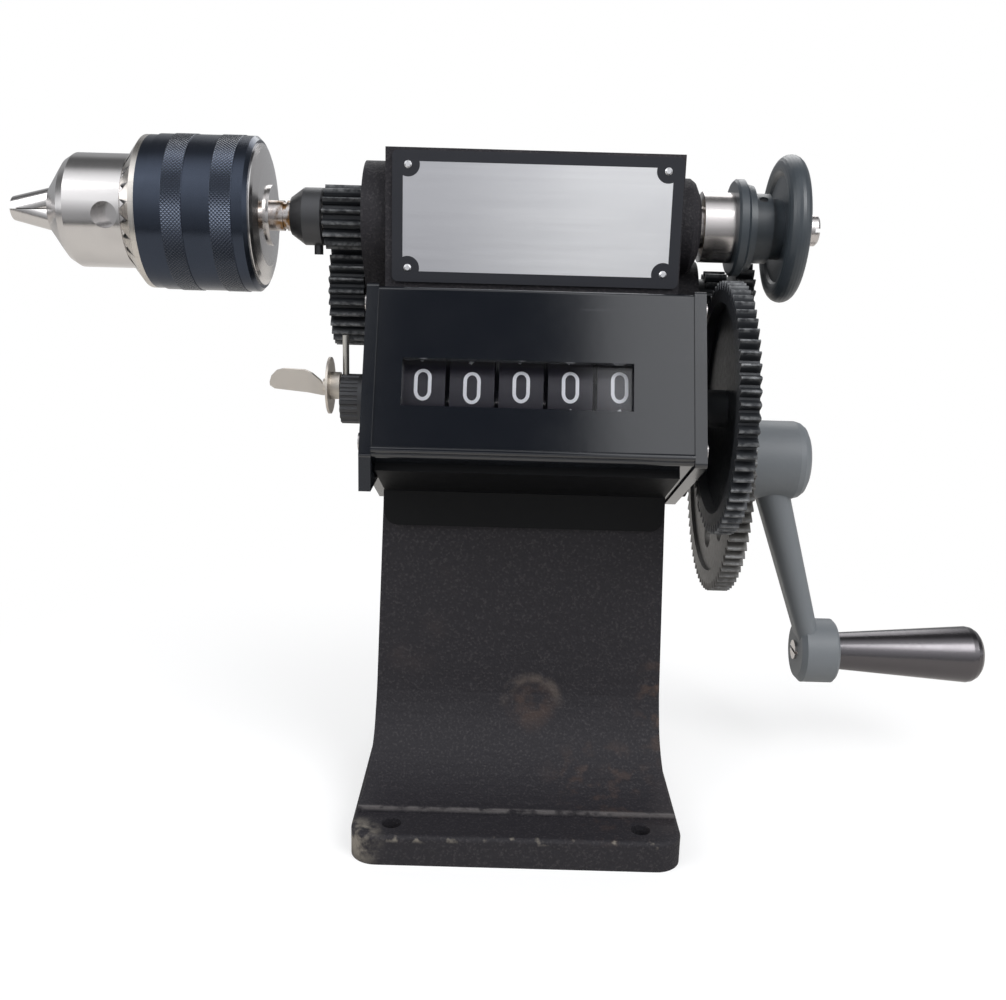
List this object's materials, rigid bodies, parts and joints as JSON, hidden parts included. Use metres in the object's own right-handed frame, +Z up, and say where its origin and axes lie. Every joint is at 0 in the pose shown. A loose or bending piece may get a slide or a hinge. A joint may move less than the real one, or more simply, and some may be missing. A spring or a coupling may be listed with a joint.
{
  "type": "hand-cranked coil winding machine",
  "caption": "Bench coil winder: cast frame with geared spindle and drill chuck, turn counter with reset key, side gear train and hand crank.",
  "frame": {"origin": "centre of the underside of the cast base", "axes": "+X along the shafts from the chuck towards the crank, +Y to the back, +Z up"},
  "size_m": [0.2856, 0.1089, 0.1856],
  "materials": {
    "cast_iron": "rough sand-cast, near black, rust-brown spots",
    "plate": "brushed, bare, black border",
    "rivet": "domed, satin",
    "bronze": "oiled sintered bronze",
    "bracket": "black oxide sheet steel",
    "case": "gloss black moulding, fine scratches",
    "pane": "clear pane",
    "drum": "black enamelled die cast drum, white figures",
    "bright_steel": "ground steel",
    "nickel": "satin nickel",
    "blued_steel": "blue-black oxide, knurled bands",
    "dark_steel": "dark oiled steel",
    "gear_black": "black gear with worn tooth tips",
    "gear_brown": "brown-grey dark steel",
    "wheel_black": "gloss dark grey",
    "crank_paint": "mid-grey paint",
    "grip_metal": "dark polished metal",
    "key_nickel": "warm satin nickel",
    "wire_steel": "drawn steel"
  },
  "bodies": {
    "frame": {"frame_casting": "cast_iron", "nameplate": "plate", "nameplate_rivets": "rivet", "spindle_bush_left": "bronze", "spindle_bush_right": "bronze", "layshaft_bush_left": "bronze", "layshaft_bush_right": "bronze", "crank_bush": "bronze", "counter_bracket": "bracket", "bracket_screws": "bracket", "counter_cover": "case", "counter_window": "pane", "counter_end_left": "case", "counter_end_right": "case", "counter_tie_rods": "bright_steel", "reset_bearing": "dark_steel", "click_pin": "wire_steel"},
    "crank": {"crank_shaft": "bright_steel", "crank_gear": "gear_brown", "crank_collar": "dark_steel", "crank_arm": "crank_paint", "crank_set_screw": "dark_steel", "crank_nut": "dark_steel", "grip_bolt": "bright_steel"},
    "grip": {"handle_grip": "grip_metal"},
    "layshaft": {"layshaft": "bright_steel", "layshaft_gear": "gear_black", "layshaft_collar": "dark_steel", "counter_pinion": "dark_steel", "crank_pinion": "dark_steel"},
    "spindle": {"spindle_shaft": "bright_steel", "spindle_pinion": "dark_steel", "arbor_collar": "dark_steel", "collar_set_screw": "dark_steel", "chuck_arbor": "bright_steel", "chuck_body": "nickel", "chuck_rear_cap": "nickel", "bearing_sleeve": "bright_steel", "belt_flange": "wheel_black", "flange_set_screw": "dark_steel", "hand_wheel": "wheel_black", "end_screw": "bright_steel"},
    "chuck_sleeve": {"chuck_sleeve": "blued_steel", "chuck_gear_ring": "nickel", "chuck_nut": "dark_steel"},
    "jaw_1": {"chuck_jaw_1": "nickel"},
    "jaw_2": {"chuck_jaw_2": "nickel"},
    "jaw_3": {"chuck_jaw_3": "nickel"},
    "counter_shaft": {"counter_shaft": "bright_steel", "counter_gear": "gear_black", "wheel_units": "drum"},
    "tens": {"wheel_tens": "drum"},
    "hundreds": {"wheel_hundreds": "drum"},
    "thousands": {"wheel_thousands": "drum"},
    "ten_thousands": {"wheel_ten_thousands": "drum"},
    "reset_key": {"reset_key": "key_nickel", "reset_disc": "key_nickel"}
  },
  "joints": [
    {"name": "crank_spin", "type": "hinge", "parent": "frame", "child": "crank", "pos_m": [0, 0.02184, 0.09761], "axis": [1, 0, 0], "continuous": true},
    {"name": "grip_spin", "type": "hinge", "parent": "crank", "child": "grip", "pos_m": [0, 0.02184, 0.03671], "axis": [1, 0, 0], "continuous": true},
    {"name": "layshaft_spin", "type": "hinge", "parent": "frame", "child": "layshaft", "pos_m": [0, 0.01425, 0.14551], "axis": [1, 0, 0], "continuous": true},
    {"name": "spindle_spin", "type": "hinge", "parent": "frame", "child": "spindle", "pos_m": [0, 0.003, 0.165], "axis": [1, 0, 0], "continuous": true},
    {"name": "counter_spin", "type": "hinge", "parent": "frame", "child": "counter_shaft", "pos_m": [0, -0.01357, 0.11818], "axis": [1, 0, 0], "continuous": true},
    {"name": "tens_spin", "type": "hinge", "parent": "frame", "child": "tens", "pos_m": [0, -0.01357, 0.11818], "axis": [1, 0, 0], "continuous": true},
    {"name": "hundreds_spin", "type": "hinge", "parent": "frame", "child": "hundreds", "pos_m": [0, -0.01357, 0.11818], "axis": [1, 0, 0], "continuous": true},
    {"name": "thousands_spin", "type": "hinge", "parent": "frame", "child": "thousands", "pos_m": [0, -0.01357, 0.11818], "axis": [1, 0, 0], "continuous": true},
    {"name": "ten_thousands_spin", "type": "hinge", "parent": "frame", "child": "ten_thousands", "pos_m": [0, -0.01357, 0.11818], "axis": [1, 0, 0], "continuous": true},
    {"name": "chuck_sleeve_spin", "type": "hinge", "parent": "spindle", "child": "chuck_sleeve", "pos_m": [0, 0.003, 0.165], "axis": [1, 0, 0], "range_deg": [0, 3312]},
    {"name": "reset_key_spin", "type": "hinge", "parent": "frame", "child": "reset_key", "pos_m": [0, -0.01357, 0.12158], "axis": [1, 0, 0], "range_deg": [0, 360]},
    {"name": "jaw_1_slide", "type": "slide", "parent": "spindle", "child": "jaw_1", "axis": [0.9659, 0.2588, 0], "range_m": [0, 0.023]},
    {"name": "jaw_2_slide", "type": "slide", "parent": "spindle", "child": "jaw_2", "axis": [0.9659, -0.1294, 0.2241], "range_m": [0, 0.023]},
    {"name": "jaw_3_slide", "type": "slide", "parent": "spindle", "child": "jaw_3", "axis": [0.9659, -0.1294, -0.2241], "range_m": [0, 0.023]}
  ],
  "couplings": [
    {"joint": "layshaft_spin", "follows": "crank_spin", "ratio": -4.1053},
    {"joint": "spindle_spin", "follows": "crank_spin", "ratio": 8.2105},
    {"joint": "counter_spin", "follows": "crank_spin", "ratio": 0.82105},
    {"joint": "tens_spin", "follows": "crank_spin", "ratio": 0.082105},
    {"joint": "hundreds_spin", "follows": "crank_spin", "ratio": 0.0082105},
    {"joint": "thousands_spin", "follows": "crank_spin", "ratio": 0.00082105},
    {"joint": "ten_thousands_spin", "follows": "crank_spin", "ratio": 0.000082105},
    {"joint": "jaw_1_slide", "follows": "chuck_sleeve_spin", "m_per_rad": 0.0003978},
    {"joint": "jaw_2_slide", "follows": "chuck_sleeve_spin", "m_per_rad": 0.0003978},
    {"joint": "jaw_3_slide", "follows": "chuck_sleeve_spin", "m_per_rad": 0.0003978}
  ]
}
